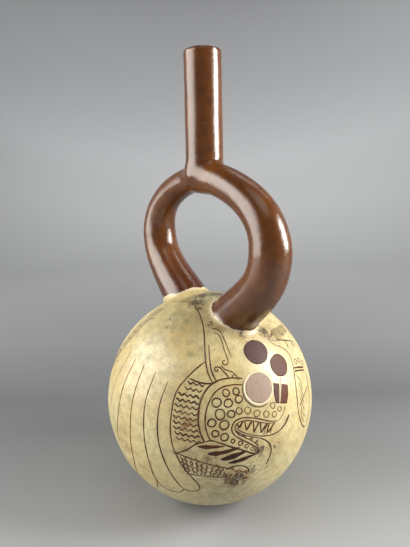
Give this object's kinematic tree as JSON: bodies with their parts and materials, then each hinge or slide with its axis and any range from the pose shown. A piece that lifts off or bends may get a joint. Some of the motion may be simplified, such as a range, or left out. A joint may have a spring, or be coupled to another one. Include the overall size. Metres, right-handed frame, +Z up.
{
  "type": "stirrup spout vessel",
  "caption": "Hollow round clay bottle with a stirrup handle of bowed tubes that join under an upright open spout, and fine-line painting on cream slip.",
  "frame": {"origin": "centre of the flat base on which the body stands", "axes": "+Z up along the body and the spout; the stirrup lies in the XZ plane, and its slightly shorter, lower side is at +X"},
  "size_m": [0.1442, 0.1406, 0.29],
  "materials": {
    "cream_slip": "cream slip burnished by hand over fired clay, softly shiny, mottled with grey-brown smudges and soil stains",
    "red_slip": "red-brown slip burnished to a shine, on the stirrup and the spout",
    "dark_paint": "dark red-brown slip paint in fine lines and flat patches, matt to satin, worn thin in places"
  },
  "bodies": {
    "root": {"vessel": "cream_slip"}
  },
  "joints": []
}
